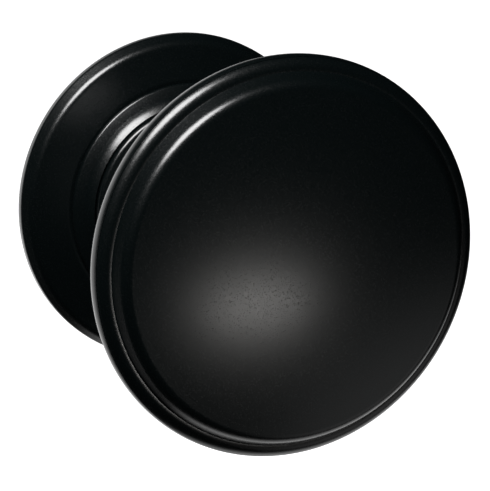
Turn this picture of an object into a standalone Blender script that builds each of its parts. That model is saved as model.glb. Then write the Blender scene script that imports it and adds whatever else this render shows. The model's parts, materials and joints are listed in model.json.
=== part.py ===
"""Turning door knob on a slim round rose, modelled as the pieces it comes apart into.

Frame: the door's face is the plane y = 0, the knob's axis is the Y axis, and -Y points out
of the door towards the user. +Z is up. Every piece is drawn about a local Z axis that runs
out of the door, under empties that turn that axis to -Y.

Lengths are in millimetres, and MM turns them into metres. A profile point is
(radius, height), where height is the distance out from the door's face. Heights below
zero are inside the door.
"""

import math

import bmesh
import bpy
from mathutils import Matrix, Vector

MM = 0.001

# Driving dimensions
RIM_ROLL = 2.2  # radius of the roll round the head's rim
RIM_CENTRE = (28.33, 42.1)  # centre of the roll's section
FACE_TOP = 49.03  # height of the crown of the domed face
ROSE_RADIUS = 26.0
COLLAR_BORE = 16.15  # hole that the cover slides along the neck by
NECK_RADIUS = 12.0
NECK_BASE_RADIUS = 15.88
SHANK_RADIUS = 8.0
SPINDLE_SIDE = 8.0
SPINDLE_ENDS = (-32.0, 26.0)
GRUB_HEIGHT = 15.5  # of the grub screw's axis
GAP = 0.3  # between pieces that rest on each other
FINE_GAP = 0.15  # where a shaft runs in its bore

# Mounting plate and its screws
PLATE_RADIUS = 23.6
PLATE_THICKNESS = 1.6
PLATE_TUBE_RADIUS = 11.2
PLATE_BORE = 9.6
SPIGOT_DEPTH = 3.4
SCREW_CIRCLE_RADIUS = 19.3
SCREW_COUNT = 4
SCREW_HEAD_RADIUS = 3.1
SCREW_RADIUS = 1.7
SCREW_LENGTH = 14.5

# Spring, driver and stops
DRIVER_BOTTOM = 4.75
DRIVER_TOP = 5.8
DRIVER_RADIUS = 15.2
HUB_RADIUS = 9.3
HUB_HEIGHTS = (4.7, 9.0)
HUB_FLAT = 8.2  # half the width across the hub's two flats
TAB_HALF_WIDTH = 1.5
TAB_RADII = (13.3, 14.3)
POST_RADII = (14.6, 15.7)
STOP_LUG_RADII = (13.3, 15.1)
STOP_RADII = (13.5, 15.7)
STOP_ANGLE = 71.5  # from the bottom of the plate to the middle of each stop
STOP_HALF_WIDTH = 1.2
SPRING_RADIUS = 12.3
SPRING_STRIP = (1.4, 0.85)  # width along the radius, height along the axis
SPRING_RISE = 1.0  # per turn
SPRING_LEG_X = 2.4

# Facets
STEPS = 40
FINE_STEPS = 24


def new_collection(name):
    collection = bpy.data.collections.new(name)
    bpy.context.scene.collection.children.link(collection)
    return collection


for old in list(bpy.data.objects):
    bpy.data.objects.remove(old, do_unlink=True)
PARTS = new_collection("door_knob")
CUTTERS = new_collection("cutters")


# Materials


def material(name, color, roughness, metallic):
    made = bpy.data.materials.new(name)
    made.use_nodes = True
    shader = made.node_tree.nodes["Principled BSDF"]
    shader.inputs["Base Color"].default_value = (*color, 1)
    shader.inputs["Roughness"].default_value = roughness
    shader.inputs["Metallic"].default_value = metallic
    return made


BLACK_COAT = material("black_coat", (0.012, 0.012, 0.012), 0.38, 0.0)
STEEL = material("steel", (0.55, 0.55, 0.56), 0.3, 1.0)
ZINC = material("zinc_casting", (0.42, 0.42, 0.41), 0.5, 1.0)
NYLON = material("nylon", (0.72, 0.70, 0.64), 0.5, 0.0)
SPRING_STEEL = material("spring_steel", (0.25, 0.25, 0.27), 0.35, 1.0)
BLACK_OXIDE = material("black_oxide", (0.03, 0.03, 0.035), 0.45, 0.6)


# Profiles


def rounded(corners, arc_points=3):
    """The outline through (radius, height[, fillet]) corners, each fillet as an arc."""
    points = []
    count = len(corners)
    for i, corner in enumerate(corners):
        here = Vector(corner[:2])
        fillet = corner[2] if len(corner) > 2 else 0
        if not fillet:
            points.append(here)
            continue
        before = Vector(corners[i - 1][:2]) - here
        after = Vector(corners[(i + 1) % count][:2]) - here
        half_angle = before.angle(after) / 2
        reach = fillet / math.tan(half_angle)
        centre = here + (before.normalized() + after.normalized()).normalized() * (
            fillet / math.sin(half_angle)
        )
        first = here + before.normalized() * reach - centre
        last = here + after.normalized() * reach - centre
        sweep = first.angle_signed(last)
        for j in range(arc_points + 1):
            turn = Matrix.Rotation(-sweep * j / arc_points, 2)
            points.append(centre + turn @ first)
    return points


def dome(radius, edge_height, top, count):
    """Points of a shallow dome from the axis to its edge, the edge left out."""
    rise = top - edge_height
    sphere = (radius**2 + rise**2) / (2 * rise)
    reach = math.asin(radius / sphere)
    angles = [reach * i / count for i in range(count)]
    return [
        Vector((sphere * math.sin(a), top - sphere + sphere * math.cos(a))) for a in angles
    ]


# Objects


def new_object(name, mesh_or_curve, skin, parent):
    """A new part, or a hidden cutter where it has no material."""
    made = bpy.data.objects.new(name, mesh_or_curve)
    if skin:
        PARTS.objects.link(made)
        mesh_or_curve.materials.append(skin)
    else:
        CUTTERS.objects.link(made)
        made.hide_render = True
        made.display_type = "WIRE"
    made.parent = parent
    return made


def shade(mesh):
    mesh.shade_smooth()
    mesh.set_sharp_from_angle(angle=math.radians(35))


def turned(name, points, skin, parent, steps=STEPS, closed=True):
    """A solid of revolution. The points run down the outer side and back up the inner one."""
    mesh = bpy.data.meshes.new(name)
    rim = [(x * MM, 0, z * MM) for x, z in points]
    edges = [(i, i + 1) for i in range(len(rim) - 1)]
    if closed:
        edges.append((len(rim) - 1, 0))
    mesh.from_pydata(rim, edges, [])
    made = new_object(name, mesh, skin, parent)
    screw = made.modifiers.new("turn", "SCREW")
    screw.steps = steps
    screw.render_steps = steps
    screw.use_merge_vertices = True
    screw.merge_threshold = 0.00001
    screw.use_smooth_shade = True
    return made


def block(name, low, high, parent, turn=0.0, skin=None):
    """A box between two corners, turned about the knob's axis by an angle in degrees."""
    mesh = bpy.data.meshes.new(name)
    size = [(b - a) * MM for a, b in zip(low, high)]
    middle = [(a + b) / 2 * MM for a, b in zip(low, high)]
    cage = bmesh.new()
    bmesh.ops.create_cube(cage, matrix=Matrix.Translation(middle) @ Matrix.Diagonal((*size, 1)))
    bmesh.ops.rotate(
        cage, cent=(0, 0, 0), matrix=Matrix.Rotation(math.radians(turn), 3, "Z"), verts=cage.verts
    )
    cage.to_mesh(mesh)
    cage.free()
    return new_object(name, mesh, skin, parent)


def rod(name, radius, low, high, axis, centre, parent, sides=24, skin=None):
    """A cylinder along local axis "Y" or "Z", from low to high, through centre."""
    mesh = bpy.data.meshes.new(name)
    place = Matrix.Translation(Vector(centre) * MM)
    if axis == "Y":
        place = place @ Matrix.Rotation(math.radians(-90), 4, "X")
    place = place @ Matrix.Translation((0, 0, (low + high) / 2 * MM))
    cage = bmesh.new()
    bmesh.ops.create_cone(
        cage,
        cap_ends=True,
        segments=sides,
        radius1=radius * MM,
        radius2=radius * MM,
        depth=(high - low) * MM,
        matrix=place,
    )
    cage.to_mesh(mesh)
    cage.free()
    made = new_object(name, mesh, skin, parent)
    if skin:
        shade(mesh)
    return made


def combine(made, others, operation):
    for other in others:
        boolean = made.modifiers.new(operation.lower(), "BOOLEAN")
        boolean.operation = operation
        boolean.object = other


def strip(name, path, section, skin, parent, closed=False):
    """A strip of rectangular section (across, along the axis) swept along a path."""
    half_across, half_along = (side / 2 * MM for side in section)
    outline = bpy.data.curves.new(name + "_section", "CURVE")
    corners = outline.splines.new("POLY")
    corners.points.add(3)
    for point, (x, y) in zip(corners.points, ((-1, 1), (1, 1), (1, -1), (-1, -1))):
        point.co = (x * half_across, y * half_along, 0, 1)
    corners.use_cyclic_u = True
    profile = new_object(name + "_section", outline, None, parent)

    curve = bpy.data.curves.new(name, "CURVE")
    curve.dimensions = "3D"
    curve.twist_mode = "Z_UP"
    curve.bevel_mode = "OBJECT"
    curve.bevel_object = profile
    curve.use_fill_caps = not closed
    spline = curve.splines.new("POLY")
    spline.points.add(len(path) - 1)
    for point, place in zip(spline.points, path):
        point.co = (*(Vector(place) * MM), 1)
    spline.use_cyclic_u = closed
    return new_object(name, curve, skin, parent)


def empty(name, parent=None):
    made = bpy.data.objects.new(name, None)
    PARTS.objects.link(made)
    made.parent = parent
    return made


# The knob: head, neck and everything that turns with them


def rim_points(tilts):
    """Points on the head's rolled rim, at tilts in degrees from the axis."""
    middle = Vector(RIM_CENTRE)
    turns = [math.radians(tilt) for tilt in tilts]
    return [middle + RIM_ROLL * Vector((math.sin(turn), math.cos(turn))) for turn in turns]


def face_cap(parent):
    """The head's front: a shallow dome, a round shoulder and the front of the rolled rim."""
    shell = 1.2
    edge_radius, edge_height = 25.6, 46.92
    skirt_bottom = 43.2
    rim = rim_points((0, 15, 30, 44, 58))
    shoulder = rounded([(edge_radius, edge_height), (27.07, 46.68, 2.0), rim[0]])[:-1]
    under = [(29.9, skirt_bottom), (28.85, skirt_bottom), (28.75, 43.7), (26.9, 43.7), (26.0, 45.1)]
    inner = dome(edge_radius - 0.3, edge_height - shell, FACE_TOP - shell, 5)
    outer = dome(edge_radius, edge_height, FACE_TOP, 7)
    points = outer + shoulder + rim + under + inner[::-1]
    return turned("face_cap", points, BLACK_COAT, parent, closed=False)


def rear_bell(parent):
    """The head's back and the neck in one shell, with a flanged base that faces the rose."""
    base_bottom = 6.15
    ledge, lip_top = 42.9, 43.4
    rim = rim_points((64, 77, 90, 107, 125))
    back = rounded(
        [
            rim[-1],
            (27.6, 37.0, 6.0),
            (NECK_RADIUS, 30.5, 9.0),
            (NECK_RADIUS, 9.3, 2.0),
            (15.0, 8.15),
            (NECK_BASE_RADIUS, 7.9, 0.75),
            (NECK_BASE_RADIUS, base_bottom, 0.2),
            (9.65, base_bottom),
            (9.65, 7.0),
            (10.4, 7.8),
            (10.4, 31.6, 9.0),
            (25.9, 38.2, 4.0),
            (27.4, 41.5),
            (27.4, lip_top),
            (28.5, lip_top),
            (28.5, ledge),
            (30.0, ledge),
        ]
    )
    bell = turned("rear_bell", rim + back[1:], BLACK_COAT, parent)
    access = rod("grub_access", 2.9, 9.5, 14.0, "Y", (0, 0, GRUB_HEIGHT), parent)
    mirror_down(access)
    combine(bell, [access], "DIFFERENCE")
    return bell


def mirror_down(made):
    """Turns a piece drawn along +Y to point down."""
    made.data.transform(Matrix.Rotation(math.pi, 4, "Z"))


def shank(parent):
    """The steel core: it carries the spindle, the driver and the retaining ring."""
    rear_end, front_end = -7.6, 41.6
    groove = (-6.45, -5.25)
    points = rounded(
        [
            (0, front_end),
            (6.3, front_end),
            (6.3, 38.3),
            (SHANK_RADIUS, 38.3),
            (SHANK_RADIUS, HUB_HEIGHTS[1]),
            (HUB_RADIUS, HUB_HEIGHTS[1]),
            (HUB_RADIUS, HUB_HEIGHTS[0]),
            (SHANK_RADIUS, HUB_HEIGHTS[0]),
            (SHANK_RADIUS, groove[1]),
            (7.2, groove[1]),
            (7.2, groove[0]),
            (SHANK_RADIUS, groove[0]),
            (SHANK_RADIUS, rear_end + 0.5),
            (SHANK_RADIUS - 0.5, rear_end),
            (0, rear_end),
        ]
    )
    made = turned("shank", points, STEEL, parent, steps=FINE_STEPS, closed=False)
    half = SPINDLE_SIDE / 2 + FINE_GAP
    socket = block("shank_socket", (-half, -half, rear_end - 1), (half, half, 26.5), parent)
    thread = rod("grub_thread", 2.55, 3.0, 9.0, "Y", (0, 0, GRUB_HEIGHT), parent)
    mirror_down(thread)
    flats = [
        block(f"hub_flat_{side}", (low, -12, 4.0), (high, 12, 6.05), parent)
        for side, low, high in (("left", -12, -HUB_FLAT), ("right", HUB_FLAT, 12))
    ]
    combine(made, [socket, thread, *flats], "DIFFERENCE")
    return made


def hub_plate(parent):
    """The disc that ties the shank's front end to the inside of the bell."""
    points = [(24.6, 40.2), (24.6, 38.9), (24.1, 38.6), (6.6, 38.6), (6.6, 40.2)]
    return turned("hub_plate", rounded(points), STEEL, parent, steps=FINE_STEPS)


def hub_nut(parent):
    """The nut that clamps the hub plate on the shank's threaded end."""
    across_corners_radius = 9.8
    bottom, top = 40.5, 44.0
    nut = rod("hub_nut", across_corners_radius, bottom, top, "Z", (0, 0, 0), parent, 6, STEEL)
    bore = rod("hub_nut_bore", 6.6, bottom - 1, top + 1, "Z", (0, 0, 0), parent, FINE_STEPS)
    combine(nut, [bore], "DIFFERENCE")
    return nut


def grub_screw(parent):
    """The socket screw that pinches the spindle in the shank."""
    screw = rod("grub_screw", 2.4, 4.3, 8.8, "Y", (0, 0, GRUB_HEIGHT), parent, 24, BLACK_OXIDE)
    drive = rod("grub_drive", 1.45, 7.0, 9.5, "Y", (0, 0, GRUB_HEIGHT), parent, 6)
    for piece in (screw, drive):
        mirror_down(piece)
    combine(screw, [drive], "DIFFERENCE")
    return screw


def spindle(parent):
    """The square bar that passes into the latch."""
    half = SPINDLE_SIDE / 2
    low, high = SPINDLE_ENDS
    bar = block("spindle", (-half, -half, low), (half, half, high), parent, skin=STEEL)
    edges = bar.modifiers.new("edges", "BEVEL")
    edges.width = 0.4 * MM
    edges.segments = 1
    return bar


def spring_driver(parent):
    """The disc keyed to the shank's flats, with a tab in the spring and a stop lug below."""
    points = [
        (DRIVER_RADIUS, DRIVER_TOP),
        (DRIVER_RADIUS, DRIVER_BOTTOM),
        (6.0, DRIVER_BOTTOM),
        (6.0, DRIVER_TOP),
    ]
    disc = turned("spring_driver", rounded(points), ZINC, parent)
    bottom = PLATE_THICKNESS + GAP
    tab, lug = (
        block(
            name,
            (-TAB_HALF_WIDTH, low, bottom),
            (TAB_HALF_WIDTH, high, DRIVER_BOTTOM + 0.5),
            parent,
            turn,
        )
        for name, (low, high), turn in (
            ("driver_tab", TAB_RADII, 0),
            ("driver_lug", STOP_LUG_RADII, 180),
        )
    )
    combine(disc, [tab, lug], "UNION")
    key_round = rod("driver_hole", HUB_RADIUS + 0.2, 4, 7, "Z", (0, 0, 0), parent, FINE_STEPS)
    key_flats = block("driver_hole_flats", (-HUB_FLAT - 0.2, -12, 3), (HUB_FLAT + 0.2, 12, 8), parent)
    combine(key_round, [key_flats], "INTERSECT")
    combine(disc, [key_round], "DIFFERENCE")
    return disc


def retaining_ring(parent):
    """A circlip in the shank's groove, open at the top, with a lug and a hole at each end."""
    bottom, top = -6.3, -5.4
    inner, outer, lug_outer = 7.4, 9.7, 11.4
    half_gap, lug_sweep = 12, 20
    stations = range(half_gap, 361 - half_gap, 8)
    lug = {a for a in stations if a <= half_gap + lug_sweep or a >= 360 - half_gap - lug_sweep}
    outline = [(lug_outer if a in lug else outer, a) for a in stations]
    outline += [(inner, a) for a in reversed(stations)]
    curve = bpy.data.curves.new("retaining_ring", "CURVE")
    curve.dimensions = "2D"
    curve.fill_mode = "BOTH"
    curve.extrude = (top - bottom) / 2 * MM
    body = curve.splines.new("POLY")
    body.points.add(len(outline) - 1)
    for point, (radius, angle) in zip(body.points, outline):
        turn = math.radians(angle + 90)
        point.co = (radius * MM * math.cos(turn), radius * MM * math.sin(turn), 0, 1)
    body.use_cyclic_u = True
    for side in (-1, 1):
        hole = curve.splines.new("POLY")
        hole.points.add(7)
        hub = math.radians(90 + side * (half_gap + lug_sweep / 2))
        for i, point in enumerate(hole.points):
            turn = math.tau * i / 8
            x = 9.6 * math.cos(hub) + 0.7 * math.cos(turn)
            y = 9.6 * math.sin(hub) + 0.7 * math.sin(turn)
            point.co = (x * MM, y * MM, 0, 1)
        hole.use_cyclic_u = True
    made = new_object("retaining_ring", curve, SPRING_STEEL, parent)
    made.location = (0, 0, (bottom + top) / 2 * MM)
    return made


def thrust_washer(parent):
    points = [(10.9, -4.6), (10.9, -5.15), (8.25, -5.15), (8.25, -4.6)]
    return turned("thrust_washer", rounded(points), STEEL, parent, steps=FINE_STEPS)


# The rose: what is screwed to the door


def mounting_plate(parent):
    """The cast plate: spigot, bearing tube, post for the spring, two stops, screw holes."""
    groove_radius = PLATE_RADIUS - 0.45
    tube_top = 4.0
    points = [
        (PLATE_TUBE_RADIUS, tube_top),
        (PLATE_TUBE_RADIUS, PLATE_THICKNESS),
        (PLATE_RADIUS, PLATE_THICKNESS),
        (PLATE_RADIUS, 1.25),
        (groove_radius, 1.25),
        (groove_radius, 0.35),
        (PLATE_RADIUS, 0.35),
        (PLATE_RADIUS, 0),
        (PLATE_TUBE_RADIUS, 0),
        (PLATE_TUBE_RADIUS, -SPIGOT_DEPTH),
        (PLATE_BORE, -SPIGOT_DEPTH),
        (PLATE_BORE, tube_top),
    ]
    plate = turned("mounting_plate", rounded(points), ZINC, parent)
    low, high = PLATE_THICKNESS - 0.5, 4.5
    post = block(
        "spring_post",
        (-TAB_HALF_WIDTH, POST_RADII[0], low),
        (TAB_HALF_WIDTH, POST_RADII[1], high),
        parent,
    )
    stops = [
        block(
            f"stop_{i}",
            (-STOP_HALF_WIDTH, STOP_RADII[0], low),
            (STOP_HALF_WIDTH, STOP_RADII[1], high),
            parent,
            180 + turn,
        )
        for i, turn in enumerate((-STOP_ANGLE, STOP_ANGLE))
    ]
    combine(plate, [post, *stops], "UNION")
    for i, place in enumerate(screw_places()):
        sink = turned(
            f"screw_sink_{i}",
            [
                (SCREW_HEAD_RADIUS + 0.7, PLATE_THICKNESS + 0.4),
                (SCREW_RADIUS + 0.4, 0.15),
                (SCREW_RADIUS + 0.4, -1),
                (0, -1),
            ],
            None,
            parent,
            steps=20,
            closed=False,
        )
        close_top(sink)
        sink.location = place
        combine(plate, [sink], "DIFFERENCE")
    return plate


def close_top(made):
    """Adds the axis point that closes an open profile's top."""
    cage = bmesh.new()
    cage.from_mesh(made.data)
    cage.verts.ensure_lookup_table()
    first = cage.verts[0]
    cage.edges.new((cage.verts.new((0, 0, first.co.z)), first))
    cage.to_mesh(made.data)
    cage.free()


def screw_places():
    angles = [math.tau * i / SCREW_COUNT for i in range(SCREW_COUNT)]
    reach = SCREW_CIRCLE_RADIUS * MM
    return [Vector((reach * math.sin(a), reach * math.cos(a), 0)) for a in angles]


def fixing_screws(parent):
    """Countersunk wood screws that hold the plate to the door."""
    top = PLATE_THICKNESS - 0.1
    points = [
        (0, top),
        (SCREW_HEAD_RADIUS, top),
        (SCREW_HEAD_RADIUS, top - 0.2),
        (SCREW_RADIUS, top - 1.5),
        (SCREW_RADIUS, top - SCREW_LENGTH + 3.0),
        (0, top - SCREW_LENGTH),
    ]
    for i, place in enumerate(screw_places()):
        screw = turned(
            f"fixing_screw_{i + 1}", rounded(points), STEEL, parent, steps=20, closed=False
        )
        screw.location = place
        slots = [
            block(f"drive_{i}_{name}", (-x, -y, top - 0.8), (x, y, top + 1), parent)
            for name, x, y in (("across", 1.9, 0.35), ("up", 0.35, 1.9))
        ]
        for slot in slots:
            slot.location = place
        combine(screw, slots, "DIFFERENCE")


def bearing_bush(parent):
    """The nylon bush that the shank turns in."""
    bore = SHANK_RADIUS + FINE_GAP
    points = [
        (10.9, 4.55),
        (10.9, 4.15),
        (PLATE_BORE - FINE_GAP, 4.15),
        (PLATE_BORE - FINE_GAP, -SPIGOT_DEPTH + 0.05),
        (bore, -SPIGOT_DEPTH + 0.05),
        (bore, 4.55),
    ]
    return turned("bearing_bush", rounded(points), NYLON, parent, steps=FINE_STEPS)


def wave_washer(parent):
    """The wavy spring ring that takes up end float behind the plate."""
    radius, waves, swell, middle = 9.6, 3, 0.25, -4.0
    count = 36
    path = []
    for i in range(count):
        turn = math.tau * i / count
        height = middle + swell * math.sin(waves * turn)
        path.append((radius * math.cos(turn), radius * math.sin(turn), height))
    return strip("wave_washer", path, (2.2, 0.3), SPRING_STEEL, parent, closed=True)


def spring_path():
    """A leg down one side of the tab and post, the coil, and a leg up the other side."""
    bend = 1.6
    leg_top = 15.6
    half_height = SPRING_STRIP[1] / 2
    low = PLATE_THICKNESS + FINE_GAP + half_height
    centre_x = SPRING_LEG_X + bend
    centre_y = math.sqrt((SPRING_RADIUS + bend) ** 2 - centre_x**2)
    join = math.atan2(centre_y, -centre_x)
    coil = 2 * math.tau - 2 * (join - math.pi / 2)
    rise = SPRING_RISE * coil / math.tau
    arc_points = 4
    leg = [(-SPRING_LEG_X, leg_top)]
    for i in range(arc_points):
        turn = -(math.pi - join) * i / arc_points
        leg.append((-centre_x + bend * math.cos(turn), centre_y + bend * math.sin(turn)))
    coil_points = 56
    path = [(x, y, low) for x, y in leg]
    for i in range(coil_points + 1):
        share = i / coil_points
        turn = join + coil * share
        x, y = SPRING_RADIUS * math.cos(turn), SPRING_RADIUS * math.sin(turn)
        path.append((x, y, low + rise * share))
    path += [(-x, y, low + rise) for x, y in reversed(leg)]
    return path


def return_spring(parent):
    """The torsion spring: either way that the driver turns, it carries one leg with it."""
    return strip("return_spring", spring_path(), SPRING_STRIP, SPRING_STEEL, parent)


def cover_snap_ring(parent):
    """The split wire ring in the plate's edge that grips the cover's skirt."""
    radius, wire, height = PLATE_RADIUS + 0.1, 0.6, 0.8
    half_gap = math.radians(6)
    count = 40
    curve = bpy.data.curves.new("cover_snap_ring", "CURVE")
    curve.dimensions = "3D"
    curve.bevel_depth = wire / 2 * MM
    curve.bevel_resolution = 1
    curve.use_fill_caps = True
    spline = curve.splines.new("POLY")
    spline.points.add(count - 1)
    for i, point in enumerate(spline.points):
        turn = half_gap + (math.tau - 2 * half_gap) * i / (count - 1) - math.pi / 2
        point.co = (radius * MM * math.cos(turn), radius * MM * math.sin(turn), height * MM, 1)
    return new_object("cover_snap_ring", curve, SPRING_STEEL, parent)


# The cover: it clips over the plate, and slides forward along the neck for fitting


def rose_cover(parent):
    """The pressed cover: short wall, sloped rim, and a face that rises gently inwards."""
    hole = 17.3
    points = [
        (hole, 4.1),
        (19.3, 4.1, 1.0),
        (24.75, 2.5, 0.6),
        (ROSE_RADIUS, 0.9, 0.7),
        (ROSE_RADIUS, 0),
        (24.35, 0),
        (24.35, 1.0),
        (23.7, 1.95),
        (19.0, 3.2),
        (hole, 3.2),
    ]
    return turned("rose_cover", rounded(points), BLACK_COAT, parent)


def rose_collar(parent):
    """The ring set in the cover's hole: thin edge, slope, and a lip round the neck's base."""
    points = [
        (COLLAR_BORE, 7.1, 0.15),
        (16.85, 7.25, 0.6),
        (16.95, 5.75),
        (18.85, 4.95, 0.5),
        (18.85, 4.4),
        (17.0, 4.4),
        (17.0, 3.4),
        (COLLAR_BORE, 3.4),
    ]
    return turned("rose_collar", rounded(points), BLACK_COAT, parent)


def build():
    out_of_door = empty("door_knob_frame")
    out_of_door.rotation_euler = (math.radians(90), 0, 0)
    knob = empty("knob_axis", out_of_door)
    for make in (
        face_cap,
        rear_bell,
        shank,
        hub_plate,
        hub_nut,
        grub_screw,
        spindle,
        spring_driver,
        retaining_ring,
        thrust_washer,
    ):
        make(knob)
    rose = empty("rose_base", out_of_door)
    for make in (
        mounting_plate,
        bearing_bush,
        wave_washer,
        return_spring,
        cover_snap_ring,
        fixing_screws,
    ):
        make(rose)
    cover = empty("cover_slide", out_of_door)
    for make in (rose_cover, rose_collar):
        make(cover)


build()
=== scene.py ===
import json
import math

import bmesh
import bpy
from mathutils import Matrix, Quaternion, Vector

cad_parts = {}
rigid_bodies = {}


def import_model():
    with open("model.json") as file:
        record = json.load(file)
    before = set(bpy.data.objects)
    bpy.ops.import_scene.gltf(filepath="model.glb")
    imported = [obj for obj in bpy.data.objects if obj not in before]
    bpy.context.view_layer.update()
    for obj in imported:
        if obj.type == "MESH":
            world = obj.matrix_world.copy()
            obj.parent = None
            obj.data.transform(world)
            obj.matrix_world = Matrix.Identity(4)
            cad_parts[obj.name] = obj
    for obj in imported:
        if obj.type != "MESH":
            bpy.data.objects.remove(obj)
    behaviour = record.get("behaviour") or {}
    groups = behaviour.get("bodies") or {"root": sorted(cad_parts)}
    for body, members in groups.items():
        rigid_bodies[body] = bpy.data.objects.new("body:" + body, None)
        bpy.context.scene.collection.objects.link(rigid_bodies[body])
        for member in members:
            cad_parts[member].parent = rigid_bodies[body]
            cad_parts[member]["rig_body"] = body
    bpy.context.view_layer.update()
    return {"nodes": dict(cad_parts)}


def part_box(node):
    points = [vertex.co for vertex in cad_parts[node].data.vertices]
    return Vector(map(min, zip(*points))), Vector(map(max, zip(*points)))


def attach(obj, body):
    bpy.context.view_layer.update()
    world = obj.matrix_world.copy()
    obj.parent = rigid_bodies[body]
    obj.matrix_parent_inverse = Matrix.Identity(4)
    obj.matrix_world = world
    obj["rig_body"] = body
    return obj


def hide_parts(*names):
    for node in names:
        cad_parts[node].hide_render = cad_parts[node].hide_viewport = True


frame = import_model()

# Lengths are in millimetres until MM turns them into metres. A turned piece is drawn as
# (radius, height) points about a Z axis that runs out of the door, and OUT turns that
# axis to -Y. Heights are measured from the door's face.
MM = 0.001
OUT = Matrix.Rotation(math.radians(90), 4, "X")


# Sizes that the frame gives, to a micrometre because its numbers are in single precision


def reach_of(node):
    """How far a CAD node reaches to the right of the knob's axis."""
    return round(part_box(node)[1].x / MM, 3)


def ends_of(node):
    """The lowest and the highest point of a CAD node."""
    low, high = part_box(node)
    return round(-high.y / MM, 3), round(-low.y / MM, 3)


# Sizes that several pieces share

HEAD_ROLL = 2.2  # radius of the roll round the head's rim
ROLL_CENTRE = (28.33, 42.1)
CAP_SEAM, BELL_SEAM = 59, 62  # tilts on the roll where the cap stops and the bell starts
GRUB_HEIGHT = 15.5  # of the grub screw's axis
GRUB_AXIS = Matrix.Translation((0, 0, GRUB_HEIGHT * MM)) @ Matrix.Rotation(math.pi / 2, 4, "X")
SHANK_RADIUS = 8.0
SCREW_COUNT = 4
SCREW_CIRCLE = 19.3  # radius of the circle that the fixing screws stand on
TAB_HALF_WIDTH = 1.5  # of the driver's tab and lug and the plate's post


# Camera, floor and light

AZIMUTH, ELEVATION, ROLL = 23.693, 14.19, 0.2  # degrees
DISTANCE = 598.6
AIM = Vector((-5.49, -40.32, 1.83)) * MM
LENS, SENSOR = 297.6, 36.0
LIT_POINT = Vector((0, -35, 0)) * MM
FLOOR_HEIGHT = -250
FLOOR_REACH = 3000
BACKDROP_RADIUS = 4000

# What the knob reflects besides the lamps: (direction, where the white starts and where it
# is full, as the cosine from that direction, strength)
WHITES = (
    ((-0.35, -0.15, -0.92), 0.6, 0.88, 1.6),  # backdrop, behind and to the left
    ((0.42, -0.80, -0.42), 0.76, 0.96, 1.1),  # table top behind and below
    ((0.60, -0.60, 0.53), 0.92, 1.0, 0.5),  # table top in front
)


def camera():
    """The one camera, aimed at AIM from a distance, an azimuth and an elevation."""
    made = bpy.data.objects.new("camera", bpy.data.cameras.new("camera"))
    bpy.context.scene.collection.objects.link(made)
    azimuth, elevation = math.radians(AZIMUTH), math.radians(ELEVATION)
    forward = Vector(
        (
            math.sin(azimuth) * math.cos(elevation),
            math.cos(azimuth) * math.cos(elevation),
            -math.sin(elevation),
        )
    )
    made.location = AIM - forward * DISTANCE * MM
    roll = Quaternion((0, 0, 1), math.radians(ROLL))
    made.rotation_euler = (forward.to_track_quat("-Z", "Y") @ roll).to_euler()
    made.data.lens = LENS
    made.data.sensor_width = SENSOR
    made.data.clip_start = 10 * MM
    bpy.context.scene.camera = made


def area_light(name, direction, distance, size, watts, turn=0, colour=(1, 1, 1)):
    """A softbox seen from the head in a direction given as (right, up, out of the door),
    turned about its own axis by turn degrees."""
    lamp = bpy.data.lights.new(name, "AREA")
    lamp.shape = "ELLIPSE"
    lamp.size, lamp.size_y = (side * MM for side in size)
    lamp.energy = watts
    lamp.color = colour
    made = bpy.data.objects.new(name, lamp)
    bpy.context.scene.collection.objects.link(made)
    right, up, out = direction
    toward = Vector((right, -out, up)).normalized()
    made.location = LIT_POINT + toward * distance * MM
    spin = Quaternion((0, 0, 1), math.radians(turn))
    made.rotation_euler = ((-toward).to_track_quat("-Z", "Y") @ spin).to_euler()


def surround():
    """Soft white patches in an otherwise dark room."""
    world = bpy.data.worlds.new("surround")
    bpy.context.scene.world = world
    world.use_nodes = True
    tree = world.node_tree
    direction = tree.nodes.new("ShaderNodeTexCoord")
    total = None
    for (right, up, out), start, full, strength in WHITES:
        along = tree.nodes.new("ShaderNodeVectorMath")
        along.operation = "DOT_PRODUCT"
        along.inputs[1].default_value = (right, -out, up)
        tree.links.new(direction.outputs["Generated"], along.inputs[0])
        fade = tree.nodes.new("ShaderNodeMapRange")
        fade.interpolation_type = "SMOOTHSTEP"
        fade.inputs["From Min"].default_value = start
        fade.inputs["From Max"].default_value = full
        fade.inputs["To Min"].default_value = 0.0
        fade.inputs["To Max"].default_value = strength
        tree.links.new(along.outputs["Value"], fade.inputs["Value"])
        if total is None:
            total = fade.outputs["Result"]
            continue
        plus = tree.nodes.new("ShaderNodeMath")
        plus.operation = "ADD"
        tree.links.new(total, plus.inputs[0])
        tree.links.new(fade.outputs["Result"], plus.inputs[1])
        total = plus.outputs["Value"]
    white = tree.nodes["Background"]
    white.inputs["Color"].default_value = (1, 1, 1, 1)
    tree.links.new(total, white.inputs["Strength"])


def white_stage(name, shape, height=0, **sizes):
    """A white sheet that the camera sees and the knob doesn't reflect. The shape is the
    bmesh operator that draws it, and the sizes are what that operator needs."""
    cage = bmesh.new()
    shape(cage, **sizes)
    mesh = bpy.data.meshes.new(name)
    cage.to_mesh(mesh)
    cage.free()
    made = bpy.data.objects.new(name, mesh)
    bpy.context.scene.collection.objects.link(made)
    made.location.z = height * MM
    made.visible_glossy = False
    made.visible_diffuse = False
    made.visible_shadow = False
    white = bpy.data.materials.new("pale_" + name)
    white.use_nodes = True
    shader = white.node_tree.nodes["Principled BSDF"]
    shader.inputs["Base Color"].default_value = (0.9, 0.9, 0.9, 1)
    shader.inputs["Roughness"].default_value = 0.9
    shader.inputs["Emission Color"].default_value = (1, 1, 1, 1)
    shader.inputs["Emission Strength"].default_value = 1.0
    mesh.materials.append(white)


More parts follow.
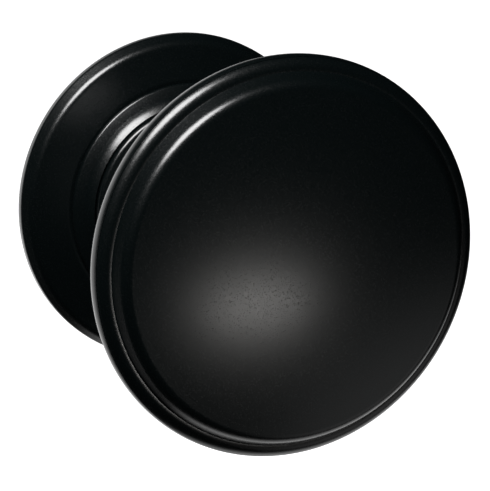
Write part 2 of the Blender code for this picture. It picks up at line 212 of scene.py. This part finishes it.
def studio():
    """The lamps, the white patches, the floor and the backdrop."""
    bpy.context.scene.view_settings.view_transform = "Standard"
    surround()
    area_light("key", (-0.43, 0.81, 0.42), distance=700, size=(430, 430), watts=10.5)
    area_light(
        "front",
        (0.29, -0.315, 0.90),
        distance=900,
        size=(205, 35),
        watts=0.4,
        turn=2,
        colour=(1.0, 0.972, 0.94),
    )
    grid, sphere = bmesh.ops.create_grid, bmesh.ops.create_uvsphere
    white_stage("floor", grid, FLOOR_HEIGHT, x_segments=1, y_segments=1, size=FLOOR_REACH * MM)
    white_stage("backdrop", sphere, u_segments=32, v_segments=16, radius=BACKDROP_RADIUS * MM)


# Materials

GRAIN_DETAIL = 3
GRAIN_SPREAD = (0.3, 0.7)  # what the noise mostly stays within
BUMP_STRENGTH = 0.5


def finish(name, dark, light, sheen, scale, relief, metallic=1.0, rings=False):
    """A grainy finish. The grain, scale lumps per metre, sways the colour between two tints
    and the roughness between two ends, and stands relief metres high. With rings it runs
    round the knob's axis, as a lathe leaves it."""
    made = bpy.data.materials.new(name + "_finish")
    made.use_nodes = True
    tree = made.node_tree
    shader = tree.nodes["Principled BSDF"]
    shader.inputs["Metallic"].default_value = metallic
    place = tree.nodes.new("ShaderNodeTexCoord").outputs["Object"]
    if rings:
        place = lathe_place(tree, place)
    grain = tree.nodes.new("ShaderNodeTexNoise")
    grain.inputs["Scale"].default_value = scale
    grain.inputs["Detail"].default_value = GRAIN_DETAIL
    tree.links.new(place, grain.inputs["Vector"])

    tint = tree.nodes.new("ShaderNodeMix")
    tint.data_type = "RGBA"
    tint.inputs["A"].default_value = (*dark, 1)
    tint.inputs["B"].default_value = (*light, 1)
    tree.links.new(grain.outputs["Fac"], tint.inputs["Factor"])
    tree.links.new(tint.outputs["Result"], shader.inputs["Base Color"])

    rough = tree.nodes.new("ShaderNodeMapRange")
    rough.inputs["From Min"].default_value, rough.inputs["From Max"].default_value = GRAIN_SPREAD
    rough.inputs["To Min"].default_value, rough.inputs["To Max"].default_value = sheen
    tree.links.new(grain.outputs["Fac"], rough.inputs["Value"])
    tree.links.new(rough.outputs["Result"], shader.inputs["Roughness"])

    bump = tree.nodes.new("ShaderNodeBump")
    bump.inputs["Strength"].default_value = BUMP_STRENGTH
    bump.inputs["Distance"].default_value = relief
    tree.links.new(grain.outputs["Fac"], bump.inputs["Height"])
    tree.links.new(bump.outputs["Normal"], shader.inputs["Normal"])
    return made


def lathe_place(tree, place):
    """Texture coordinates that change only with the radius and the height."""
    apart = tree.nodes.new("ShaderNodeSeparateXYZ")
    tree.links.new(place, apart.inputs["Vector"])
    across = tree.nodes.new("ShaderNodeCombineXYZ")
    tree.links.new(apart.outputs["X"], across.inputs["X"])
    tree.links.new(apart.outputs["Z"], across.inputs["Y"])
    radius = tree.nodes.new("ShaderNodeVectorMath")
    radius.operation = "LENGTH"
    tree.links.new(across.outputs["Vector"], radius.inputs[0])
    joined = tree.nodes.new("ShaderNodeCombineXYZ")
    tree.links.new(radius.outputs["Value"], joined.inputs["X"])
    tree.links.new(apart.outputs["Y"], joined.inputs["Y"])
    return joined.outputs["Vector"]


COAT = finish(
    "black_coat",
    dark=(0.0008, 0.0017, 0.0018),
    light=(0.0016, 0.0027, 0.0029),
    sheen=(0.19, 0.29),
    scale=5200,
    relief=8e-6,
    metallic=0.0,
)
STEEL = finish(
    "steel",
    dark=(0.42, 0.42, 0.42),
    light=(0.68, 0.68, 0.69),
    sheen=(0.22, 0.4),
    scale=5000,
    relief=4e-6,
    rings=True,
)
DRAWN = finish(
    "drawn_steel",
    dark=(0.44, 0.44, 0.44),
    light=(0.62, 0.62, 0.63),
    sheen=(0.25, 0.45),
    scale=2500,
    relief=5e-6,
)
ZINC = finish(
    "cast_zinc",
    dark=(0.26, 0.26, 0.255),
    light=(0.5, 0.5, 0.49),
    sheen=(0.4, 0.65),
    scale=1800,
    relief=3e-5,
)
NYLON = finish(
    "nylon",
    dark=(0.66, 0.63, 0.55),
    light=(0.78, 0.76, 0.70),
    sheen=(0.35, 0.6),
    scale=1500,
    relief=1e-5,
    metallic=0.0,
)
SPRING = finish(
    "spring_steel",
    dark=(0.12, 0.12, 0.14),
    light=(0.34, 0.34, 0.36),
    sheen=(0.25, 0.5),
    scale=3000,
    relief=6e-6,
)
OXIDE = finish(
    "black_oxide",
    dark=(0.015, 0.015, 0.018),
    light=(0.06, 0.06, 0.065),
    sheen=(0.3, 0.6),
    scale=2600,
    relief=8e-6,
    metallic=0.6,
)


# Outlines


def rounded(corners, arc_step=9.0, hold=0.12):
    """The outline through (radius, height[, fillet]) corners. Each fillet is an arc with a
    held point just outside each end, so that smooth shading stays flat on the flats."""
    points = []
    count = len(corners)
    for i, corner in enumerate(corners):
        here = Vector(corner[:2])
        fillet = corner[2] if len(corner) > 2 else 0
        if not fillet:
            points.append(here)
            continue
        before = (Vector(corners[i - 1][:2]) - here).normalized()
        after = (Vector(corners[(i + 1) % count][:2]) - here).normalized()
        half_angle = before.angle(after) / 2
        reach = fillet / math.tan(half_angle)
        centre = here + (before + after).normalized() * (fillet / math.sin(half_angle))
        first = here + before * reach - centre
        last = here + after * reach - centre
        sweep = first.angle_signed(last)
        steps = max(3, round(math.degrees(abs(sweep)) / arc_step))
        points.append(here + before * (reach + hold))
        for j in range(steps + 1):
            points.append(centre + Matrix.Rotation(-sweep * j / steps, 2) @ first)
        points.append(here + after * (reach + hold))
    return points


def arc(centre, radius, start, end, step=5):
    """Points of an arc from one tilt to another, in degrees from the axis."""
    count = round((end - start) / step)
    tilts = [math.radians(start + (end - start) * i / count) for i in range(count + 1)]
    return [Vector(centre) + radius * Vector((math.sin(t), math.cos(t))) for t in tilts]


def dome(radius, edge_height, top, count):
    """Points of a shallow dome from the axis to its edge, the edge left out."""
    rise = top - edge_height
    sphere = (radius**2 + rise**2) / (2 * rise)
    spread = math.asin(radius / sphere)
    angles = [spread * i / count for i in range(count)]
    return [Vector((sphere * math.sin(a), top - sphere + sphere * math.cos(a))) for a in angles]


def around(radius, angle, height=0):
    """The point at a radius and an angle round the axis, in radians."""
    return Vector((radius * math.cos(angle), radius * math.sin(angle), height))


# Solids

SHARP_ANGLE = 30  # degrees between faces that makes a corner
THREAD_SIDES = 40
THREAD_ROWS = 8  # per pitch
THREAD_FLANKS = 1.6  # above 1 the groove has a flat root
THREAD_BITE = 0.6  # the most of its radius that a piece loses to its thread


def from_cage(name, cage, skin, place=Matrix()):
    """An object out of a cage drawn about the Z axis, put in place and turned out."""
    bmesh.ops.remove_doubles(cage, verts=cage.verts, dist=1e-7)
    bmesh.ops.recalc_face_normals(cage, faces=cage.faces)
    cage.transform(OUT @ place)
    mesh = bpy.data.meshes.new(name)
    cage.to_mesh(mesh)
    cage.free()
    if skin:
        mesh.materials.append(skin)
    crisp(mesh)
    made = bpy.data.objects.new(name, mesh)
    bpy.context.scene.collection.objects.link(made)
    return made


def crisp(mesh):
    """Smooth shading that stops at corners."""
    mesh.shade_smooth()
    mesh.set_sharp_from_angle(angle=math.radians(SHARP_ANGLE))


def turned(name, points, skin=None, steps=192, closed=True, place=Matrix()):
    """A solid of revolution about the knob's axis, or about place's Z axis."""
    cage = bmesh.new()
    ring = [cage.verts.new((x * MM, 0, z * MM)) for x, z in points]
    pairs = list(zip(ring, ring[1:]))
    if closed:
        pairs.append((ring[-1], ring[0]))
    edges = [cage.edges.new(pair) for pair in pairs]
    bmesh.ops.spin(
        cage,
        geom=ring + edges,
        cent=(0, 0, 0),
        axis=(0, 0, 1),
        angle=math.tau,
        steps=steps,
        use_merge=True,
    )
    return from_cage(name, cage, skin, place)


def loft(name, rings, skin, closed=False, caps=True, place=Matrix()):
    """A skin over rings of points, closed into a loop or capped at both ends."""
    cage = bmesh.new()
    rows = [[cage.verts.new(Vector(point) * MM) for point in ring] for ring in rings]
    pairs = list(zip(rows, rows[1:]))
    if closed:
        pairs.append((rows[-1], rows[0]))
    elif caps:
        cage.faces.new(rows[0])
        cage.faces.new(rows[-1])
    for near, far in pairs:
        for j in range(len(near)):
            k = (j + 1) % len(near)
            cage.faces.new((near[j], near[k], far[k], far[j]))
    return from_cage(name, cage, skin, place)


def swept(name, path, section, skin, closed=False):
    """A section of (across, along the axis) points carried along a path."""
    rings = []
    count = len(path)
    for i, point in enumerate(path):
        before = path[i - 1] if i or closed else point
        after = path[(i + 1) % count] if i < count - 1 or closed else point
        across = Vector((0, 0, 1)).cross(after - before).normalized()
        along = (after - before).cross(across).normalized()
        rings.append([point + across * x + along * y for x, y in section])
    return loft(name, rings, skin, closed)


def soft_strip(across, along, edge):
    """The section of a rolled strip with soft edges."""
    x, y = across / 2, along / 2
    return rounded([(-x, y, edge), (x, y, edge), (x, -y, edge), (-x, -y, edge)], hold=0.01)


def threaded(name, outline, thread, skin, place=Matrix()):
    """A turned piece whose (radius, height) outline carries a thread, given as
    (low end, high end, pitch, depth)."""
    low, high, pitch, depth = thread
    rows = []
    for here, there in zip(outline, outline[1:]):
        cut = min(here[1], there[1]) >= low and max(here[1], there[1]) <= high
        count = math.ceil(abs(here[1] - there[1]) / pitch * THREAD_ROWS) if cut else 1
        rows += [Vector(here).lerp(Vector(there), i / count) for i in range(count)]
    rows.append(Vector(outline[-1]))
    rings = []
    for radius, height in rows:
        ends = min(height - low, high - height) / pitch
        bite = min(depth * max(0, min(1, ends)), radius * THREAD_BITE)
        ring = []
        for j in range(THREAD_SIDES):
            share = (height / pitch - j / THREAD_SIDES) % 1
            groove = min(1, THREAD_FLANKS * (1 - abs(2 * share - 1)))
            ring.append(around(radius - bite * groove, math.tau * j / THREAD_SIDES, height))
        rings.append(ring)
    return loft(name, rings, skin, caps=False, place=place)


def block(low, high, turn=0, skin=None, name="block", bevel=0):
    """A box between two corners, turned about the knob's axis by an angle in degrees."""
    size = [(b - a) * MM for a, b in zip(low, high)]
    middle = [(a + b) / 2 * MM for a, b in zip(low, high)]
    cage = bmesh.new()
    bmesh.ops.create_cube(cage, matrix=Matrix.Translation(middle) @ Matrix.Diagonal((*size, 1)))
    if bevel:
        bmesh.ops.bevel(
            cage, geom=cage.edges[:], offset=bevel * MM, segments=3, profile=0.5, affect="EDGES"
        )
    return from_cage(name, cage, skin, Matrix.Rotation(math.radians(turn), 4, "Z"))


def rod(radius, low, high, place=Matrix(), sides=64, skin=None, name="rod"):
    """A cylinder or a prism along the knob's axis, or along place's Z axis."""
    cage = bmesh.new()
    middle = Matrix.Translation((0, 0, (low + high) / 2 * MM))
    bmesh.ops.create_cone(
        cage,
        cap_ends=True,
        segments=sides,
        radius1=radius * MM,
        radius2=radius * MM,
        depth=(high - low) * MM,
        matrix=middle,
    )
    return from_cage(name, cage, skin, place)


def combined(made, others, operation):
    """Joins the others to the piece, or cuts it by them, and removes them."""
    for other in others:
        boolean = made.modifiers.new("combine", "BOOLEAN")
        boolean.operation = operation
        boolean.solver = "EXACT"
        boolean.object = other
    graph = bpy.context.evaluated_depsgraph_get()
    mesh = bpy.data.meshes.new_from_object(made.evaluated_get(graph))
    made.modifiers.clear()
    made.data = mesh
    crisp(mesh)
    for other in others:
        bpy.data.objects.remove(other)
    return made


def stands_for(piece, node):
    """The piece replaces a CAD node, which it hides, and rides on that node's body."""
    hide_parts(node)
    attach(piece, frame["nodes"][node]["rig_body"])


# Head and neck


def face_cap(skin):
    """The front of the head: dome, shoulder, riser and the front of the roll."""
    top = ends_of("face_cap")[1]
    edge_radius, edge_height = 25.6, 46.92
    wall = 1.2
    rim = arc(ROLL_CENTRE, HEAD_ROLL, 0, CAP_SEAM)
    shoulder = rounded([(edge_radius, edge_height), (27.07, 46.68, 2.0), rim[0]], hold=0.06)[:-1]
    skirt = rim[-1].y - 0.05
    under = [(29.9, skirt), (28.85, skirt), (28.75, 43.7), (26.9, 43.7), (26.0, 45.1)]
    inner = dome(edge_radius - 0.3, edge_height - wall, top - wall, count=12)
    outer = dome(edge_radius, edge_height, top, count=24)
    points = outer + shoulder + rim + under + inner[::-1]
    stands_for(turned("face_cap_finish", points, skin, closed=False), "face_cap")


def rear_bell(skin):
    """The back of the roll, the back of the head, the neck and its flanged base."""
    bottom = ends_of("rear_bell")[0]
    neck, hollow, base, base_bore = 12.0, 10.4, 15.88, 9.65
    roll_end = 125  # tilt where the roll runs into the back of the head
    rim = arc(ROLL_CENTRE, HEAD_ROLL, BELL_SEAM, roll_end)
    ledge = rim[0].y - 0.1
    back = rounded(
        [
            rim[-1],
            (27.6, 37.0, 6.0),
            (neck, 30.5, 9.0),
            (neck, 9.3, 2.0),
            (15.0, 8.15),
            (base, 7.9, 0.75),
            (base, bottom, 0.2),
            (base_bore, bottom),
            (base_bore, 7.0),
            (hollow, 7.8),
            (hollow, 31.6, 9.0),
            (25.9, 38.2, 4.0),
            (27.4, 41.5),
            (27.4, 43.4),
            (28.4, 43.4),
            (28.4, ledge),
            (30.0, ledge),
        ],
        arc_step=6,
    )
    bell = turned("rear_bell_finish", rim + back[1:], skin)
    access_hole = rod(2.9, 9.5, 14.0, GRUB_AXIS)
    combined(bell, [access_hole], "DIFFERENCE")
    stands_for(bell, "rear_bell")


def shank(skin):
    """The steel core, with the spindle's socket, the grub screw's hole and two flats."""
    hub = reach_of("shank")
    bottom, top = ends_of("shank")
    hub_low, hub_high = 4.7, 9.0
    groove_low, groove_high = -6.45, -5.25
    stub, shoulder, groove = 6.3, 38.3, 7.2
    outline = rounded(
        [
            (0, top),
            (stub, top, 0.3),
            (stub, shoulder),
            (SHANK_RADIUS, shoulder),
            (SHANK_RADIUS, hub_high),
            (hub, hub_high, 0.2),
            (hub, hub_low, 0.2),
            (SHANK_RADIUS, hub_low),
            (SHANK_RADIUS, groove_high),
            (groove, groove_high),
            (groove, groove_low),
            (SHANK_RADIUS, groove_low),
            (SHANK_RADIUS, bottom, 0.5),
            (0, bottom),
        ]
    )
    made = turned("shank_finish", outline, skin, 96, closed=False)
    socket, socket_floor = 4.15, 26.5
    flat, flat_low, flat_high = 8.2, 4.0, 6.05
    beyond = 12
    cutters = [
        block((-socket, -socket, -9), (socket, socket, socket_floor)),
        rod(2.55, 3.0, 9.0, GRUB_AXIS),
        block((-beyond, -beyond, flat_low), (-flat, beyond, flat_high)),
        block((flat, -beyond, flat_low), (beyond, beyond, flat_high)),
    ]
    stands_for(combined(made, cutters, "DIFFERENCE"), "shank")


def washer(node, skin, inner, edge=0.1):
    """A flat ring that fills its CAD node's box, with soft edges."""
    outer = reach_of(node)
    bottom, top = ends_of(node)
    corners = [(outer, top, edge), (outer, bottom, edge), (inner, bottom, edge), (inner, top, edge)]
    stands_for(turned(node + "_finish", rounded(corners, hold=0.02), skin, 96), node)


def hub_nut(skin):
    """A hexagonal nut with its corners turned off."""
    bottom, top = ends_of("hub_nut")
    corner, face, chamfer, bore = 9.8, 8.6, 0.7, 6.6
    made = rod(corner, bottom, top, sides=6, skin=skin, name="hub_nut_finish")
    outline = [
        (0, top),
        (face, top),
        (corner, top - chamfer),
        (corner, bottom + chamfer),
        (face, bottom),
        (0, bottom),
    ]
    combined(made, [turned("barrel", outline, steps=96, closed=False)], "INTERSECT")
    combined(made, [rod(bore, bottom - 1, top + 1)], "DIFFERENCE")
    stands_for(made, "hub_nut")


def grub_screw(skin):
    """A socket screw in the shank, under the neck's access hole. Heights run along it."""
    radius, point, chamfer = 2.4, 2.0, 0.3
    bottom, top = 4.3, 8.8
    thread_low, thread_high = 4.7, top - chamfer
    outline = [
        (0, top),
        (radius - chamfer, top),
        (radius, thread_high),
        (radius, thread_low),
        (point, bottom),
        (0, bottom),
    ]
    thread = (thread_low, thread_high, 0.8, 0.35)
    made = threaded("grub_screw_finish", outline, thread, skin, GRUB_AXIS)
    socket = rod(1.45, 7.0, 9.5, GRUB_AXIS, sides=6)
    combined(made, [socket], "DIFFERENCE")
    stands_for(made, "grub_screw")


def spindle(skin):
    """The square bar that drives the latch, with softened edges."""
    half = reach_of("spindle")
    low, high = ends_of("spindle")
    corners = (-half, -half, low), (half, half, high)
    bar = block(*corners, skin=skin, name="spindle_finish", bevel=0.4)
    stands_for(bar, "spindle")


# Rose


def rose_cover(skin):
    """The pressed cover, with a turned-down rim."""
    radius, top = reach_of("rose_cover"), ends_of("rose_cover")[1]
    hole, underside, skirt = 17.3, 3.2, 24.35
    outline = rounded(
        [
            (hole, top),
            (19.3, top, 1.0),
            (24.85, 2.6, 1.5),
            (radius, 0.9, 0.7),
            (radius, 0),
            (skirt, 0),
            (skirt, 1.0),
            (23.7, 1.95),
            (19.0, underside),
            (hole, underside),
        ]
    )
    stands_for(turned("rose_cover_finish", outline, skin), "rose_cover")


def rose_collar(skin):
    """The ring in the cover's hole: thin edge, slope, and a lip round the neck's base."""
    bottom = ends_of("rose_collar")[0]
    radius, bore, seat = reach_of("rose_collar"), 16.15, 17.0
    lip_centre, lip_roll, lip_start, lip_end = (13.9, 4.0), 3.9, 36, 62
    lip = arc(lip_centre, lip_roll, lip_start, lip_end)
    flange = rounded([(17.4, 5.75), (17.5, 5.71), (radius, 4.95, 0.4), (radius, 4.4), (seat, 4.4)])
    points = lip + flange + [Vector((seat, bottom)), Vector((bore, bottom))]
    stands_for(turned("rose_collar_finish", points, skin), "rose_collar")


def screw_places():
    """Where the fixing screws stand, the first at the top."""
    turns = [math.tau * i / SCREW_COUNT for i in range(SCREW_COUNT)]
    ways = [Vector((math.sin(turn), math.cos(turn), 0)) for turn in turns]
    return [Matrix.Translation(way * SCREW_CIRCLE * MM) for way in ways]


def mounting_plate(skin):
    """The cast plate: spigot, bearing tube, spring post, two stops and four screw holes."""
    radius = reach_of("mounting_plate")
    spigot, lug_top = ends_of("mounting_plate")
    tube, bore, tube_top = 11.2, 9.6, 4.0
    face, groove = 1.6, 23.15
    corners = [
        (tube, tube_top, 0.2),
        (tube, face, 0.3),
        (radius, face, 0.15),
        (radius, 1.25),
        (groove, 1.25),
        (groove, 0.35),
        (radius, 0.35),
        (radius, 0),
        (tube, 0),
        (tube, spigot, 0.4),
        (bore, spigot),
        (bore, tube_top),
    ]
    plate = turned("mounting_plate_finish", rounded(corners, hold=0.02), skin, 128)

    lug_foot, lug_edge, lug_reach = 1.1, 0.15, 15.7
    post = ((-TAB_HALF_WIDTH, 14.6, lug_foot), (TAB_HALF_WIDTH, lug_reach, lug_top))
    stop = ((-1.2, 13.5, lug_foot), (1.2, lug_reach, lug_top))
    stop_angle = 71.5  # each way from the bottom of the plate
    lugs = [block(*post, bevel=lug_edge)]
    for side in (-1, 1):
        lugs.append(block(*stop, 180 + side * stop_angle, bevel=lug_edge))
    combined(plate, lugs, "UNION")

    sink = [(0, 2.0), (3.8, 2.0), (2.1, 0.15), (2.1, -1), (0, -1)]
    sinks = [
        turned("sink", sink, steps=64, closed=False, place=place) for place in screw_places()
    ]
    combined(plate, sinks, "DIFFERENCE")
    stands_for(plate, "mounting_plate")


def fixing_screws(skin):
    """Countersunk wood screws with cross slots and a thread that tapers to a point."""
    bottom, top = ends_of("fixing_screw_1")
    head, shaft, tip_radius = 3.1, 1.7, 0.12
    thread_top, tip = top - 3.0, bottom + 0.1
    outline = [
        (0, top),
        (head - 0.1, top),
        (head, top - 0.1),
        (head, top - 0.2),
        (shaft, top - 1.5),
        (shaft, thread_top),
        (shaft, top - 11.5),
        (tip_radius, tip),
        (0, bottom),
    ]
    thread = (tip, thread_top, 1.4, 0.5)
    slot_reach, slot_half, slot_floor = 1.9, 0.35, top - 0.8
    slot_box = ((-slot_reach, -slot_half, slot_floor), (slot_reach, slot_half, top + 1))
    for i, place in enumerate(screw_places()):
        screw = threaded(f"fixing_screw_{i + 1}_finish", outline, thread, skin, place)
        slots = [block(*slot_box, turn) for turn in (0, 90)]
        for slot in slots:
            slot.data.transform(OUT @ place @ OUT.inverted())
        combined(screw, slots, "DIFFERENCE")
        stands_for(screw, f"fixing_screw_{i + 1}")


def bearing_bush(skin):
    """The flanged bush that the shank turns in."""
    flange = reach_of("bearing_bush")
    bottom, top = ends_of("bearing_bush")
    sleeve, bore = 9.45, SHANK_RADIUS + 0.15
    underside = top - 0.4
    edge = 0.15
    corners = [
        (flange, top, edge),
        (flange, underside),
        (sleeve, underside),
        (sleeve, bottom, edge),
        (bore, bottom, edge),
        (bore, top, edge),
    ]
    bush = turned("bearing_bush_finish", rounded(corners, hold=0.02), skin, 96)
    stands_for(bush, "bearing_bush")


# Spring and rings


def spring_driver(skin):
    """The disc keyed to the shank, with the spring's tab at the top and a lug below."""
    radius = reach_of("spring_driver")
    tab_foot, top = ends_of("spring_driver")
    bottom, hole, edge = 4.75, 6.0, 0.2
    corners = [(radius, top, edge), (radius, bottom, edge), (hole, bottom), (hole, top)]
    disc = turned("spring_driver_finish", rounded(corners, hold=0.02), skin, 128)

    tab_inner, tab_top, tab_edge = 13.3, 5.3, 0.15
    inner_corner = (-TAB_HALF_WIDTH, tab_inner, tab_foot)
    tab = block(inner_corner, (TAB_HALF_WIDTH, 14.3, tab_top), bevel=tab_edge)
    lug = block(inner_corner, (TAB_HALF_WIDTH, 15.1, tab_top), 180, bevel=tab_edge)
    combined(disc, [tab, lug], "UNION")

    key_radius, key_flat, beyond = 9.5, 8.4, 12
    key = rod(key_radius, 4, 7)
    combined(key, [block((-key_flat, -beyond, 3), (key_flat, beyond, 8))], "INTERSECT")
    combined(disc, [key], "DIFFERENCE")
    stands_for(disc, "spring_driver")


def retaining_ring(skin):
    """A circlip, open at the top, with a lug and a hole at each end."""
    bottom, top = ends_of("retaining_ring")
    inner, outer, lug_depth = 7.4, 9.7, 1.7
    half_gap, lug_sweep, fade, step = 12, 20, 6, 2  # degrees
    rings = []
    for angle in range(half_gap, 361 - half_gap, step):
        from_end = min(angle, 360 - angle) - half_gap
        lug = max(0, min(1, (lug_sweep + fade - from_end) / fade))
        rim = outer + lug_depth * lug
        turn = math.radians(angle + 90)
        corners = ((inner, bottom), (inner, top), (rim, top), (rim, bottom))
        rings.append([around(radius, turn, height) for radius, height in corners])
    made = loft("retaining_ring_finish", rings, skin)

    hole, hole_circle = 0.7, 9.6
    holes = []
    for side in (-1, 1):
        turn = math.radians(90 + side * (half_gap + lug_sweep / 2))
        place = Matrix.Translation(around(hole_circle, turn) * MM)
        holes.append(rod(hole, bottom - 1, top + 1, place, sides=32))
    stands_for(combined(made, holes, "DIFFERENCE"), "retaining_ring")


def wave_washer(skin):
    """A spring washer of even width that waves along the axis."""
    radius, waves, swell, middle, steps = 9.6, 3, 0.25, -4.0, 144
    path = []
    for i in range(steps):
        turn = math.tau * i / steps
        path.append(around(radius, turn, middle + swell * math.sin(waves * turn)))
    ring = swept("wave_washer_finish", path, soft_strip(2.2, 0.3, 0.08), skin, closed=True)
    stands_for(ring, "wave_washer")


def return_spring(skin):
    """The torsion spring: a leg, the coil, and a leg up the other side of the post."""
    radius, rise, leg_x, bend = 12.3, 1.0, 2.4, 1.6
    width, thickness = 1.4, 0.85
    leg_top = round(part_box("return_spring")[1].z / MM, 3)
    low = ends_of("return_spring")[0] + thickness / 2
    bend_x = leg_x + bend
    bend_y = math.sqrt((radius + bend) ** 2 - bend_x**2)
    join = math.atan2(bend_y, -bend_x)
    coil = 2 * math.tau - 2 * (join - math.pi / 2)
    lift = Vector((0, 0, rise * coil / math.tau))
    bend_steps, coil_steps = 8, 168

    leg = [Vector((-leg_x, leg_top, low))]
    for i in range(bend_steps):
        turn = -(math.pi - join) * i / bend_steps
        leg.append(Vector((-bend_x, bend_y, low)) + around(bend, turn))
    path = list(leg)
    for i in range(coil_steps + 1):
        share = i / coil_steps
        path.append(around(radius, join + coil * share, low) + lift * share)
    path += [Vector((-point.x, point.y, low)) + lift for point in reversed(leg)]
    spring = swept("return_spring_finish", path, soft_strip(width, thickness, 0.15), skin)
    stands_for(spring, "return_spring")


def cover_snap_ring(skin):
    """A round wire ring, open at the bottom, that grips the cover's skirt."""
    radius, wire, height = 23.7, 0.3, 0.8
    half_gap, step, sides = 6, 2, 12
    turns = range(half_gap - 90, 271 - half_gap, step)  # degrees
    path = [around(radius, math.radians(turn), height) for turn in turns]
    section = [around(wire, math.tau * i / sides).xy for i in range(sides)]
    ring = swept("cover_snap_ring_finish", path, section, skin)
    stands_for(ring, "cover_snap_ring")


camera()
studio()
for make in (face_cap, rear_bell, rose_cover, rose_collar):
    make(COAT)
for make in (shank, hub_nut):
    make(STEEL)
washer("hub_plate", STEEL, inner=6.6, edge=0.3)
washer("thrust_washer", STEEL, inner=SHANK_RADIUS + 0.25)
for make in (spindle, fixing_screws):
    make(DRAWN)
grub_screw(OXIDE)
for make in (spring_driver, mounting_plate):
    make(ZINC)
bearing_bush(NYLON)
for make in (retaining_ring, wave_washer, return_spring, cover_snap_ring):
    make(SPRING)
